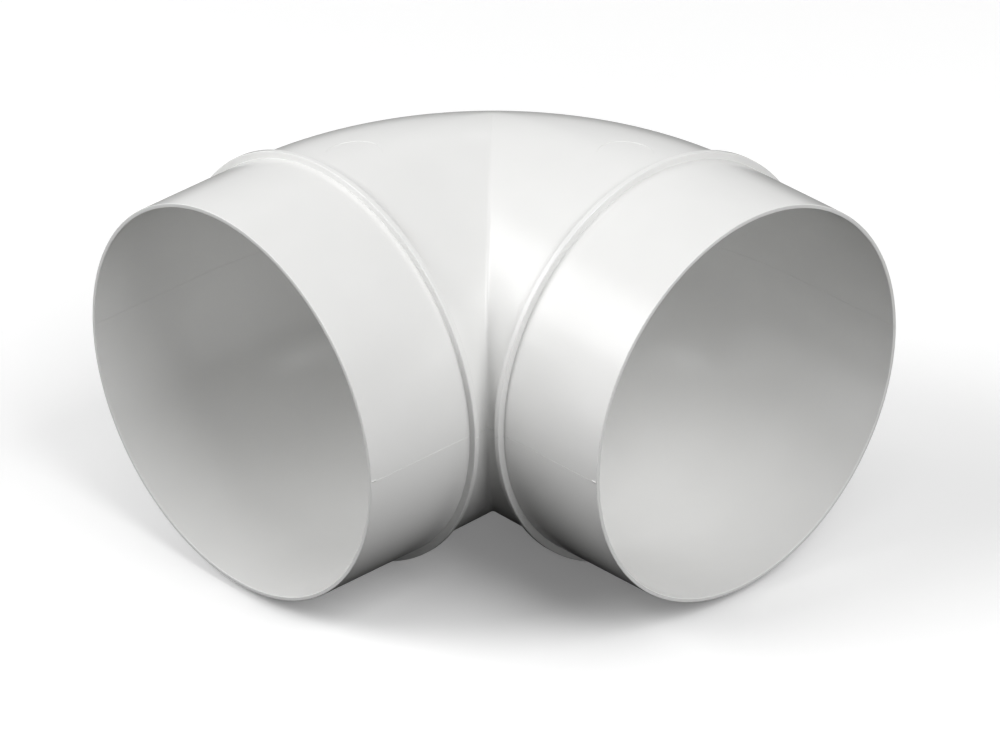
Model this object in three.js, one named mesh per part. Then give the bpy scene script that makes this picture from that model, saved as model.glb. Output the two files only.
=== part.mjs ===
// 90 degree elbow for 150 mm round duct, moulded in white plastic. Its two spigots taper
// a little towards their rims, so that a duct starts easily and wedges on.
//
// Two half shells, one above the other, meet on the level plane through both spigot
// axes. Their edges lap: the lower shell's thin lip stands inside the upper shell's.
//
// Millimetres, +Z up. One spigot points along +X and the other along -Y. The origin is
// under the centre of the elbow's box, on the plane that it stands on.

import * as THREE from 'three';
import { mergeVertices } from 'three/addons/utils/BufferGeometryUtils.js';

// Driving dimensions

const SPIGOT_RADIUS = 75; // outside of the body, and of the spigots at their collars
const SPIGOT_TAPER = 0.7; // how much smaller the spigot's radius is at the rim
const WALL = 1.5;
const SPIGOT_LENGTH = 45.3; // rim to the collar's stop face
const THROAT_STAND_OFF = 1.5; // from the inner corner to the centre of the bend, along each axis
const STRAIGHT_BEHIND_COLLAR = 4.6; // from the end of the bend to the back of the collar
const COLLAR_WIDTH = 2.2; // along the spigot
const COLLAR_HEIGHT = 2.6; // above the spigot
const COLLAR_EDGE = 0.4; // bevel on the collar's outer edges
const COLLAR_FILLET = 0.3; // at the collar's root
const RIM_EDGE = 0.3; // bevel on both edges of the rim
const LAP_HEIGHT = 2.4; // how far the lower shell's lip stands up inside the upper shell
const JOINT_GAP = 0.3; // clearance between the two shells
const RIDGE_SOFTNESS = 2; // blend between the straight tubes and the bend, in ridge depths

// Mesh fineness

const ARC_STEPS = 32; // round half of the tube
const BEND_STEPS = 16; // along the bend

const PLASTIC = { color: 0xeeeeec, roughness: 0.38, metalness: 0 };

// Sizes that follow from them

const QUARTER_TURN = Math.PI / 2;
const COLLAR_RADIUS = SPIGOT_RADIUS + COLLAR_HEIGHT;
const BEND_RADIUS = SPIGOT_RADIUS + THROAT_STAND_OFF;
const COLLAR_BACK = BEND_RADIUS + STRAIGHT_BEHIND_COLLAR;
const COLLAR_FRONT = COLLAR_BACK + COLLAR_WIDTH;
const RIM = COLLAR_FRONT + SPIGOT_LENGTH;
const LIP_THICKNESS = (WALL - JOINT_GAP) / 2;
const BOX_CENTRE = (RIM - COLLAR_RADIUS) / 2;

// Slices. A slice cuts across the tube, and its point(radius, turn) lies on the tube of
// that radius. turn is 0 on the inner side of the bend, a half turn on the outer side.

function straightSlice(distance, toRow) {
  return {
    spread: () => 1,
    point: (radius, turn) => toRow(distance, radius * Math.cos(turn), radius * Math.sin(turn)),
  };
}

function alongX(distance, inward, height) {
  return new THREE.Vector3(distance, -inward, height);
}

function alongY(distance, inward, height) {
  return new THREE.Vector3(inward, -distance, height);
}

function softMax(a, b, softness) {
  const overlap = Math.max(softness - Math.abs(a - b), 0);
  return Math.max(a, b) + (overlap * overlap) / (4 * softness);
}

// In the bend the tube is the straight tubes, mitred into each other, trimmed by a torus.
// They meet on a ridge along the top and bottom, deepest on the mitre and softened there.

function bendSlice(angle) {
  const fromSpigot = Math.min(angle, QUARTER_TURN - angle);
  const mitre = Math.cos(fromSpigot);
  const ridge = BEND_RADIUS * Math.tan(fromSpigot / 2) ** 2;
  const spread = (radius) => Math.acos(ridge / radius) / QUARTER_TURN;
  const point = (radius, turn) => {
    const lift = Math.min(turn, Math.PI - turn) * spread(radius);
    const reach = radius * Math.cos(lift);
    const out = turn < QUARTER_TURN ? (BEND_RADIUS - reach) / mitre : BEND_RADIUS + reach;
    const across = softMax(BEND_RADIUS - out * mitre, out - BEND_RADIUS, ridge * RIDGE_SOFTNESS);
    const height = Math.sign(lift) * Math.sqrt(Math.max(radius ** 2 - across ** 2, 0));
    const x = BEND_RADIUS - out * Math.sin(angle);
    const y = out * Math.cos(angle) - BEND_RADIUS;
    return new THREE.Vector3(x, y, height);
  };
  return { spread, point };
}

// The tube's profile along one spigot, rim first: each entry is a distance from the
// crossing of the two axes, with the plain tube's radius there and the outer and inner
// radius. lift is how far the outside stands above the plain tube, and hollow is how far
// the bore is cut into it.

function tubeRadius(distance) {
  const share = Math.max(distance - COLLAR_FRONT, 0) / SPIGOT_LENGTH;
  return SPIGOT_RADIUS - SPIGOT_TAPER * share;
}

function spigotProfile() {
  const profile = [];
  const add = (distance, lift = 0, hollow = 0) => {
    const tube = tubeRadius(distance);
    profile.push({ distance, tube, outer: tube + lift, inner: tube - WALL + hollow });
  };
  add(RIM, -RIM_EDGE, RIM_EDGE);
  add(RIM - RIM_EDGE);
  add(COLLAR_FRONT + COLLAR_FILLET);
  add(COLLAR_FRONT, COLLAR_FILLET);
  add(COLLAR_FRONT, COLLAR_HEIGHT - COLLAR_EDGE);
  add(COLLAR_FRONT - COLLAR_EDGE, COLLAR_HEIGHT);
  add(COLLAR_BACK + COLLAR_EDGE, COLLAR_HEIGHT);
  add(COLLAR_BACK, COLLAR_HEIGHT - COLLAR_EDGE);
  add(COLLAR_BACK, COLLAR_FILLET);
  add(COLLAR_BACK - COLLAR_FILLET);
  add(BEND_RADIUS);
  return profile;
}

// All slices of the elbow in order, from the rim on +X to the rim on -Y.

function elbowSlices() {
  const spigot = (toRow) =>
    spigotProfile().map(({ distance, ...radii }) => {
      return { ...straightSlice(distance, toRow), ...radii };
    });
  const bend = [];
  for (let step = 1; step < BEND_STEPS; step += 1) {
    const slice = bendSlice((QUARTER_TURN * step) / BEND_STEPS);
    const tube = SPIGOT_RADIUS;
    bend.push({ ...slice, tube, outer: tube, inner: tube - WALL });
  }
  return [...spigot(alongX), ...bend, ...spigot(alongY).reverse()];
}

// One shell's closed outline on a slice. side is 1 for the upper shell and -1 for the
// lower one, whose edge heights are measured downwards. lapDepth is how far under the
// outside the shell's edge steps, and outerEdge and innerEdge are its two edges' heights.

function shellOutline(slice, { side, lapDepth, outerEdge, innerEdge }) {
  const lap = slice.tube - lapDepth;
  const turnAt = (radius, height) => Math.asin(height / radius) / slice.spread(radius);
  const place = (radius, turn) => slice.point(radius, turn).multiply(new THREE.Vector3(1, 1, side));
  const arc = (radius, height) => {
    const start = turnAt(radius, height);
    const points = [];
    for (let step = 0; step <= ARC_STEPS; step += 1) {
      const turn = start + ((Math.PI - 2 * start) * step) / ARC_STEPS;
      points.push(place(radius, turn));
    }
    return points;
  };
  const edgeStep = (turnOf) => [
    place(lap, turnOf(turnAt(lap, outerEdge))),
    place(lap, turnOf(turnAt(lap, innerEdge))),
  ];
  const farStep = edgeStep((turn) => Math.PI - turn);
  const nearStep = edgeStep((turn) => turn).reverse();
  return [
    ...arc(slice.outer, outerEdge),
    ...farStep,
    ...arc(slice.inner, innerEdge).reverse(),
    ...nearStep,
  ];
}

// Joins outlines of equal length into a closed solid. Quads squeezed to nothing at the
// flat faces of the collars are left out when the points are merged.

function capTriangles(outline, toFlat) {
  const flat = outline.map(toFlat);
  return THREE.ShapeUtils.triangulateShape(flat, []).map(([a, b, c]) => {
    const facesOut = THREE.ShapeUtils.area([flat[a], flat[b], flat[c]]) > 0;
    return facesOut ? [a, b, c] : [a, c, b];
  });
}

function wallTriangles(rows, size, side) {
  const triangles = [];
  const add = (a, b, c) => triangles.push(side > 0 ? [a, b, c] : [a, c, b]);
  for (let row = 0; row + 1 < rows; row += 1) {
    for (let column = 0; column < size; column += 1) {
      const a = row * size + column;
      const b = row * size + ((column + 1) % size);
      add(a, b, b + size);
      add(a, b + size, a + size);
    }
  }
  return triangles;
}

function mergedGeometry(points, triangles) {
  const loose = new THREE.BufferGeometry().setFromPoints(points);
  loose.setIndex(triangles.flat());
  const geometry = mergeVertices(loose);
  const merged = Array.from(geometry.getIndex().array);
  const kept = [];
  for (let start = 0; start < merged.length; start += 3) {
    const [a, b, c] = merged.slice(start, start + 3);
    if (a !== b && b !== c && c !== a) {
      kept.push(a, b, c);
    }
  }
  geometry.setIndex(kept);
  geometry.computeVertexNormals();
  return geometry;
}

function shellGeometry(edges) {
  const outlines = elbowSlices().map((slice) => shellOutline(slice, edges));
  const size = outlines[0].length;
  const firstOfLast = (outlines.length - 1) * size;
  const rimOnX = capTriangles(outlines[0], ({ y, z }) => new THREE.Vector2(y, z));
  const rimOnY = capTriangles(outlines.at(-1), ({ x, z }) => new THREE.Vector2(x, z));
  const triangles = [
    ...wallTriangles(outlines.length, size, edges.side),
    ...rimOnX,
    ...rimOnY.map((corners) => corners.map((corner) => corner + firstOfLast)),
  ];
  return mergedGeometry(outlines.flat(), triangles);
}

function halfShell(name, edges) {
  const mesh = new THREE.Mesh(shellGeometry(edges), new THREE.MeshStandardMaterial(PLASTIC));
  mesh.name = name;
  return mesh;
}

const upperShell = halfShell('upper_half_shell', {
  side: 1,
  lapDepth: LIP_THICKNESS,
  outerEdge: JOINT_GAP / 2,
  innerEdge: LAP_HEIGHT + JOINT_GAP / 2,
});

const lowerShell = halfShell('lower_half_shell', {
  side: -1,
  lapDepth: WALL - LIP_THICKNESS,
  outerEdge: JOINT_GAP / 2,
  innerEdge: JOINT_GAP / 2 - LAP_HEIGHT,
});

const elbow = new THREE.Group();
elbow.position.set(-BOX_CENTRE, BOX_CENTRE, COLLAR_RADIUS);
elbow.add(upperShell, lowerShell);

export default elbow;
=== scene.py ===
"""White plastic duct elbow: fine surfaces, material, light and camera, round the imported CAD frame.

Metres, in the frame's own axes: one spigot points along +X, the other along -Y, +Z is up.
"""

import math

import bmesh
import bpy
import numpy as np
from mathutils import Matrix, Vector


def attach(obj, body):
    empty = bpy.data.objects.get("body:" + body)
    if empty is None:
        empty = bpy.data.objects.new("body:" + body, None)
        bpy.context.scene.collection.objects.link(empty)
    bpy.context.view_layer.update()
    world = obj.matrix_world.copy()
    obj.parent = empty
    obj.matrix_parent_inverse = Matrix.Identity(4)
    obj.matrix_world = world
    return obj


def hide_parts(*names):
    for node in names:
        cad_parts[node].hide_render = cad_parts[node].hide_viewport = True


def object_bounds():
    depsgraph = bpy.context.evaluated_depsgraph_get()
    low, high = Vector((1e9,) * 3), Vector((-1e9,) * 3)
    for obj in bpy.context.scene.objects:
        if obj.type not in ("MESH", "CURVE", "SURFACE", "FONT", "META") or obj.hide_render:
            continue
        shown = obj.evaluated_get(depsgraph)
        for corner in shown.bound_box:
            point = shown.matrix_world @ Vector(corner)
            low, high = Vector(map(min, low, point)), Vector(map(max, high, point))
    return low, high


MM = 0.001

# Camera: a long lens, aimed a little below and in front of the crossing of the axes.
CAMERA_AZIMUTH = math.radians(-42.783)
CAMERA_ELEVATION = math.radians(30.313)
CAMERA_DISTANCE = 1954.3 * MM
CAMERA_ROLL = math.radians(-0.982)
CAMERA_AIM = Vector((13.51, -11.69, -30.76)) * MM  # from the crossing of the axes
LENS = 193.77
SENSOR = 36.0

# The moulding. The overall sizes are read from the frame, and these are its small ones.
WALL = 1.5 * MM
COLLAR_HEIGHT = 2.6 * MM
COLLAR_WIDTH = 2.2 * MM
COLLAR_EDGE = 0.4 * MM  # rounding of the collar's outer edges
COLLAR_FILLET = 0.2 * MM  # at its root
SPIGOT_LENGTH = 45.3 * MM
SPIGOT_TAPER = 0.7 * MM  # how much smaller the spigot's radius is at the rim
THROAT_STAND_OFF = 1.5 * MM
RIM_EDGE = 0.3 * MM
LAP_HEIGHT = 2.4 * MM
LINE_GAP = 0.06 * MM  # between the two shells on the finished, welded part
LINE_EDGE = 0.18 * MM  # rounding of their outer edges, which makes the line outside
LINE_EDGE_FINE = 0.02 * MM  # of the upper edge on -Y, the lower edge on +X, and both inside
CREASE_FILLET = 1.1 * MM
MARK_RADIUS = 10 * MM  # round witness marks on top, where the mould's pins pressed
MARK_ALONG = 65.5 * MM  # their centres, along the axis and out from it
MARK_ACROSS = 1.5 * MM
MARK_BEAD = 0.13 * MM  # half width of the fine raised line that shows them
MARK_FACING = math.radians(-45)  # azimuth of the side of a mark that has no line
NIB = Vector((1.8, 0.5, 0.5)) * MM  # tab on the line at a rim: along, across and up
NIB_PROUD = 0.22 * MM
RIDGE_SOFTNESS = 2.0  # blend between the straight tubes and the bend, in ridge depths

FLOOR_HALF = 3.0
LAMP_DISTANCE = 2.0

# Mesh fineness
ARC_STEPS = 96  # round half of the tube
BEND_STEPS = 30  # along each half of the bend, crowded towards the crease
CROWDING = 1.7
STRAIGHT_STEPS = 4
ROUND_STEPS = 4
MARK_STEPS = 40
BEAD_SIDES = 8
MERGE_DISTANCE = 0.0005 * MM

QUARTER = math.pi / 2


# ---------------------------------------------------------------- frame and camera

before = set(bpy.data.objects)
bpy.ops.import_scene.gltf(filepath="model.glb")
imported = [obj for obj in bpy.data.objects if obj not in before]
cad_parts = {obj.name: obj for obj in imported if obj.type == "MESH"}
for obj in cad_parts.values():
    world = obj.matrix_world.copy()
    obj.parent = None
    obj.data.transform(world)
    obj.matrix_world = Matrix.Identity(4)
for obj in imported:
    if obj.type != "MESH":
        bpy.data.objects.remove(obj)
cad_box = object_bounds()
low, high = (Vector(corner) for corner in cad_box)

COLLAR_RADIUS = (high.z - low.z) / 2
CROSSING = Vector((low.x + COLLAR_RADIUS, high.y - COLLAR_RADIUS, low.z + COLLAR_RADIUS))
RIM = high.x - CROSSING.x
RADIUS = COLLAR_RADIUS - COLLAR_HEIGHT
BORE = RADIUS - WALL
BEND = RADIUS + THROAT_STAND_OFF
COLLAR_FRONT = RIM - SPIGOT_LENGTH
COLLAR_BACK = COLLAR_FRONT - COLLAR_WIDTH


def direction(azimuth, elevation):
    level = math.cos(elevation)
    return Vector((level * math.cos(azimuth), level * math.sin(azimuth), math.sin(elevation)))


def add_camera():
    towards = direction(CAMERA_AZIMUTH, CAMERA_ELEVATION)
    data = bpy.data.cameras.new("camera")
    data.lens = LENS
    data.sensor_width = SENSOR
    data.clip_end = 100
    camera = bpy.data.objects.new("camera", data)
    bpy.context.collection.objects.link(camera)
    turn = towards.to_track_quat("Z", "Y").to_matrix().to_4x4()
    place = Matrix.Translation(CROSSING + CAMERA_AIM + towards * CAMERA_DISTANCE)
    camera.matrix_world = place @ turn @ Matrix.Rotation(CAMERA_ROLL, 4, "Z")
    bpy.context.scene.camera = camera


add_camera()


# ---------------------------------------------------------------- surfaces of the elbow

def soft_max(a, b, softness):
    overlap = np.maximum(softness - np.abs(a - b), 0)
    return np.maximum(a, b) + overlap**2 / (4 * softness)


def straight_points(distance, radius, turn, along_x):
    """Points on a round tube, square to a spigot's axis. turn is 0 on the bend's inner side."""
    inward, height = radius * np.cos(turn), radius * np.sin(turn)
    level = np.full_like(inward, distance)
    if along_x:
        return np.stack([level, -inward, height], axis=-1)
    return np.stack([inward, -level, height], axis=-1)


def ridge_depth(angle):
    """How far in from the tube's side the ridge between tube and bend lies on a slice."""
    return BEND * math.tan(min(angle, QUARTER - angle) / 2) ** 2


def crease_distance(angle, stand_off):
    """Distance from the bend's centre to the inner side, whose mitred corner is filleted."""
    nearest = min(angle, QUARTER - angle)
    plain = stand_off / math.cos(nearest)
    fillet = np.minimum(CREASE_FILLET, stand_off * 0.999)
    centre = stand_off - fillet
    facing = math.sin(angle) + math.cos(angle)
    inside = centre**2 * (facing**2 - 2) + fillet**2
    rounded = centre * facing + np.sqrt(np.maximum(inside, 0))
    return np.where(stand_off * math.tan(nearest) > centre, rounded, plain)


def bend_points(angle, radius, turn):
    """Points on a slice through the bend's centre: mitred tubes, trimmed by a torus."""
    ridge = ridge_depth(angle)
    lift = np.minimum(turn, math.pi - turn) * math.acos(ridge / radius) / QUARTER
    reach = radius * np.cos(lift)
    inner_side = turn < QUARTER
    out = np.where(inner_side, crease_distance(angle, BEND - reach), BEND + reach)
    tube = BEND - out * math.cos(min(angle, QUARTER - angle))
    across = soft_max(np.where(inner_side, reach, tube), out - BEND, ridge * RIDGE_SOFTNESS)
    height = np.sign(lift) * np.sqrt(np.maximum(radius**2 - across**2, 0))
    return np.stack([BEND - out * math.sin(angle), out * math.cos(angle) - BEND, height], axis=-1)


class Slice:
    """One slice of the tube: its plain radius, and the outer and inner radius of the shells."""

    def __init__(self, tube, outer, inner, distance=None, along_x=True, angle=None):
        self.tube, self.outer, self.inner = tube, outer, inner
        self.distance, self.along_x, self.angle = distance, along_x, angle

    def points(self, radius, turn):
        if self.angle is None:
            return straight_points(self.distance, radius, turn, self.along_x)
        return bend_points(self.angle, radius, turn)

    def turn_at(self, radius, height):
        spread = 1 if self.angle is None else math.acos(ridge_depth(self.angle) / radius) / QUARTER
        return math.asin(height / radius) / spread


def rounding():
    """Pairs that fall from 1 and rise from 0 along a quarter circle, for rounded edges."""
    for step in range(ROUND_STEPS + 1):
        angle = QUARTER * step / ROUND_STEPS
        yield 1 - math.sin(angle), 1 - math.cos(angle)


def tube_radius(distance):
    return RADIUS - SPIGOT_TAPER * max(distance - COLLAR_FRONT, 0) / SPIGOT_LENGTH


def spigot_profile():
    """(distance, tube, outer, inner radius) from the rim to where the bend starts."""
    profile = []

    def add(distance, lift=0, hollow=0):
        tube = tube_radius(distance)
        profile.append((distance, tube, tube + lift, tube - WALL + hollow))

    for falling, rising in rounding():
        add(RIM - rising * RIM_EDGE, -falling * RIM_EDGE, falling * RIM_EDGE)
    plain_length = SPIGOT_LENGTH - RIM_EDGE - COLLAR_FILLET
    for step in range(1, STRAIGHT_STEPS):
        add(RIM - RIM_EDGE - plain_length * step / STRAIGHT_STEPS)
    for falling, rising in rounding():
        add(COLLAR_FRONT + falling * COLLAR_FILLET, rising * COLLAR_FILLET)
    for falling, rising in rounding():
        add(COLLAR_FRONT - rising * COLLAR_EDGE, COLLAR_HEIGHT - falling * COLLAR_EDGE)
    for falling, rising in rounding():
        add(COLLAR_BACK + falling * COLLAR_EDGE, COLLAR_HEIGHT - rising * COLLAR_EDGE)
    for falling, rising in rounding():
        add(COLLAR_BACK - rising * COLLAR_FILLET, falling * COLLAR_FILLET)
    add(BEND)
    return profile


def elbow_slices():
    """All slices in order, from the rim on +X to the rim on -Y."""
    profile = spigot_profile()
    near = [(step / BEND_STEPS) ** CROWDING for step in range(BEND_STEPS)]
    halves = [1 - share for share in reversed(near)] + [1 + share for share in near[1:]]
    slices = [Slice(*radii, distance, True) for distance, *radii in profile]
    slices += [Slice(RADIUS, RADIUS, BORE, angle=share * QUARTER / 2) for share in halves]
    slices += [Slice(*radii, distance, False) for distance, *radii in reversed(profile)]
    return slices


def line_rounding(cut, side):
    """Rounding of a shell's outer edge, which passes from one size to the other round the bend."""
    share = (0 if cut.along_x else 1) if cut.angle is None else cut.angle / QUARTER
    worn = 1 - share if side > 0 else share
    return LINE_EDGE_FINE + (LINE_EDGE - LINE_EDGE_FINE) * worn


def edge_section(cut, side, lap_depth, outer_edge, inner_edge):
    """(radius, height) pairs across a shell's stepped edge, from its outer to its inner face."""
    lap = cut.tube - lap_depth
    outside, inside = line_rounding(cut, side), LINE_EDGE_FINE
    pairs = []
    for falling, rising in rounding():
        pairs.append((cut.outer - rising * outside, outer_edge + falling * outside))
    pairs.append((lap, outer_edge))
    pairs.append((lap, inner_edge))
    for falling, rising in rounding():
        pairs.append((cut.inner + falling * inside, inner_edge + rising * inside))
    return pairs


def shell_outline(cut, side, lap_depth, outer_edge, inner_edge):
    """One shell's closed outline on a slice. side is 1 above the line and -1 below it."""
    edge = edge_section(cut, side, lap_depth, outer_edge, inner_edge)

    def arc(radius, height):
        start = cut.turn_at(radius, height)
        return cut.points(radius, np.linspace(start, math.pi - start, ARC_STEPS + 1))

    def edge_points(far):
        for radius, height in edge[1:-1]:
            turn = cut.turn_at(radius, height)
            yield cut.points(radius, np.array([math.pi - turn if far else turn]))

    outer_arc, inner_arc = arc(*edge[0]), arc(*edge[-1])
    far, near = list(edge_points(True)), list(edge_points(False))
    outline = np.concatenate([outer_arc, *far, inner_arc[::-1], *reversed(near)])
    return outline * (1, 1, side)


def shell_mesh(name, side, lap_depth, outer_edge, inner_edge):
    outlines = [shell_outline(cut, side, lap_depth, outer_edge, inner_edge) for cut in elbow_slices()]
    size = len(outlines[0])
    points = np.concatenate(outlines) + np.array(CROSSING)
    faces = []
    for row in range(len(outlines) - 1):
        for column in range(size):
            a, b = row * size + column, row * size + (column + 1) % size
            faces.append((a, b, b + size, a + size)[::side])
    last = (len(outlines) - 1) * size
    faces.append(tuple(range(size))[::-side])
    faces.append(tuple(range(last, last + size))[::side])
    data = bpy.data.meshes.new(name)
    data.from_pydata(points.tolist(), [], faces)
    work = bmesh.new()
    work.from_mesh(data)
    bmesh.ops.remove_doubles(work, verts=work.verts, dist=MERGE_DISTANCE)
    work.to_mesh(data)
    work.free()
    data.shade_smooth()
    return data


def top_height(x, y):
    """Height of the outside above a point in the bend, all from the crossing of the axes."""
    out = math.hypot(BEND - x, y + BEND)
    angle = math.atan2(BEND - x, y + BEND)
    tube = BEND - out * math.cos(min(angle, QUARTER - angle))
    across = float(soft_max(tube, out - BEND, ridge_depth(angle) * RIDGE_SOFTNESS))
    return math.sqrt(RADIUS**2 - across**2)


def add_mark(work, centre):
    """The outer half of a round witness mark, as a fine bead that thins out to its ends."""
    rows = []
    for step in range(MARK_STEPS + 1):
        share = step / MARK_STEPS
        bearing = MARK_FACING + QUARTER + math.pi * share
        size = MARK_BEAD * max(math.sin(math.pi * share), 0.05) ** 0.5
        row = []
        for side in range(BEAD_SIDES):
            turn = 2 * math.pi * side / BEAD_SIDES
            reach = MARK_RADIUS + size * math.cos(turn)
            x = centre[0] + reach * math.cos(bearing)
            y = centre[1] + reach * math.sin(bearing)
            lift = top_height(x, y) + size * math.sin(turn)
            row.append(work.verts.new(CROSSING + Vector((x, y, lift))))
        rows.append(row)
    for row, following in zip(rows, rows[1:]):
        for side in range(BEAD_SIDES):
            after = (side + 1) % BEAD_SIDES
            work.faces.new((row[side], following[side], following[after], row[after]))
    work.faces.new(rows[0])
    work.faces.new(reversed(rows[-1]))


def add_nib(work, along_x):
    """A small tab on the line, outside at a rim, on the bend's inner side."""
    along = RIM - RIM_EDGE - NIB.x / 2
    across = tube_radius(RIM) + NIB_PROUD - NIB.y / 2
    place = Vector((along, -across, NIB.z / 2)) if along_x else Vector((across, -along, NIB.z / 2))
    size = NIB if along_x else Vector((NIB.y, NIB.x, NIB.z))
    matrix = Matrix.Translation(CROSSING + place) @ Matrix.Diagonal((*size, 1))
    bmesh.ops.create_cube(work, size=1, matrix=matrix)


def add_moulding_marks(data):
    work = bmesh.new()
    work.from_mesh(data)
    add_mark(work, (MARK_ALONG, MARK_ACROSS))
    add_mark(work, (-MARK_ACROSS, -MARK_ALONG))
    add_nib(work, True)
    add_nib(work, False)
    work.to_mesh(data)
    work.free()
    data.shade_smooth()


def add_shell(name, node, *edges):
    shell = bpy.data.objects.new(name, shell_mesh(name, *edges))
    bpy.context.collection.objects.link(shell)
    weighted = shell.modifiers.new("even shading", "WEIGHTED_NORMAL")
    weighted.mode = "FACE_AREA"
    weighted.weight = 100
    shell.data.materials.append(plastic)
    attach(shell, "root")
    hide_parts(node)
    return shell


# ---------------------------------------------------------------- materials

def new_material(name):
    material = bpy.data.materials.new(name)
    material.use_nodes = True
    nodes, links = material.node_tree.nodes, material.node_tree.links
    return material, nodes, links, nodes["Principled BSDF"]


def white_plastic():
    """Smooth moulded plastic: slightly uneven in tone and gloss, with faint skin texture."""
    material, nodes, links, shader = new_material("white_plastic")
    place = nodes.new("ShaderNodeTexCoord").outputs["Object"]

    def noise(scale, detail, roughness=0.5):
        node = nodes.new("ShaderNodeTexNoise")
        node.inputs["Scale"].default_value = scale
        node.inputs["Detail"].default_value = detail
        node.inputs["Roughness"].default_value = roughness
        links.new(place, node.inputs["Vector"])
        return node.outputs["Fac"]

    tone = nodes.new("ShaderNodeValToRGB")
    tone.color_ramp.elements[0].position = 0.3
    tone.color_ramp.elements[0].color = (0.80, 0.80, 0.79, 1)
    tone.color_ramp.elements[1].position = 0.7
    tone.color_ramp.elements[1].color = (0.84, 0.84, 0.83, 1)
    links.new(noise(18, 3), tone.inputs["Fac"])
    links.new(tone.outputs["Color"], shader.inputs["Base Color"])

    gloss = nodes.new("ShaderNodeMapRange")
    gloss.inputs["To Min"].default_value = 0.20
    gloss.inputs["To Max"].default_value = 0.27
    links.new(noise(60, 4), gloss.inputs["Value"])
    links.new(gloss.outputs["Result"], shader.inputs["Roughness"])

    skin = nodes.new("ShaderNodeBump")
    skin.inputs["Strength"].default_value = 0.12
    skin.inputs["Distance"].default_value = 0.03 * MM
    links.new(noise(900, 3), skin.inputs["Height"])
    waves = nodes.new("ShaderNodeBump")
    waves.inputs["Strength"].default_value = 0.2
    waves.inputs["Distance"].default_value = 0.2 * MM
    links.new(noise(22, 1), waves.inputs["Height"])
    links.new(skin.outputs["Normal"], waves.inputs["Normal"])
    links.new(waves.outputs["Normal"], shader.inputs["Normal"])
    shader.inputs["IOR"].default_value = 1.5
    return material


def pale_floor():
    material, _, _, shader = new_material("pale_floor")
    shader.inputs["Base Color"].default_value = (0.95, 0.95, 0.95, 1)
    shader.inputs["Roughness"].default_value = 0.9
    shader.inputs["Emission Color"].default_value = (1, 1, 1, 1)
    shader.inputs["Emission Strength"].default_value = 0.14
    return material


# ---------------------------------------------------------------- the two shells

plastic = white_plastic()
LIP = (WALL - LINE_GAP) / 2
upper = add_shell(
    "upper_moulding", "upper_half_shell", 1, LIP, LINE_GAP / 2, LAP_HEIGHT + LINE_GAP / 2)
add_moulding_marks(upper.data)
add_shell("lower_moulding", "lower_half_shell", -1, WALL - LIP, LINE_GAP / 2, LINE_GAP / 2 - LAP_HEIGHT)


# ---------------------------------------------------------------- studio

def add_floor():
    data = bpy.data.meshes.new("floor")
    signs = [(-1, -1), (1, -1), (1, 1), (-1, 1)]
    corners = [(FLOOR_HALF * x, FLOOR_HALF * y, low.z) for x, y in signs]
    data.from_pydata(corners, [], [(0, 1, 2, 3)])
    floor = bpy.data.objects.new("floor", data)
    bpy.context.collection.objects.link(floor)
    floor.data.materials.append(pale_floor())
    floor.visible_diffuse = False  # no light comes up from it: the underside stays dark
    floor.visible_glossy = False


def add_softbox(name, side, elevation, width, height, power):
    """A rectangular lamp that faces the crossing of the axes. side is its azimuth from the camera's."""
    towards = direction(CAMERA_AZIMUTH + math.radians(side), math.radians(elevation))
    data = bpy.data.lights.new(name, "AREA")
    data.shape = "RECTANGLE"
    data.size, data.size_y = width, height
    data.energy = power
    lamp = bpy.data.objects.new(name, data)
    bpy.context.collection.objects.link(lamp)
    lamp.location = CROSSING + towards * LAMP_DISTANCE
    lamp.rotation_euler = towards.to_track_quat("Z", "Y").to_euler()


def add_dark_world():
    world = bpy.data.worlds.new("studio")
    world.use_nodes = True
    world.node_tree.nodes["Background"].inputs["Strength"].default_value = 0
    bpy.context.scene.world = world


add_floor()
add_dark_world()
add_softbox("left strip", -99, 36, 0.85, 0.85, 7.3)
add_softbox("left low", -95, 12, 1.6, 1.2, 8.0)
add_softbox("left front", -70, 40, 0.8, 0.9, 17.7)
add_softbox("front low", 5, 22, 0.8, 0.8, 4.4)
add_softbox("front high", 5, 70, 0.8, 0.8, 3.2)
add_softbox("key", 43, 44, 1.35, 1.2, 25.5)
add_softbox("back", 180, 20, 1.8, 1.8, 5.6)
add_softbox("back right", 140, 20, 1.8, 1.8, 10.0)
add_softbox("low right", 58, -10, 1.9, 1.5, 5.8)
bpy.context.scene.view_settings.view_transform = "Standard"
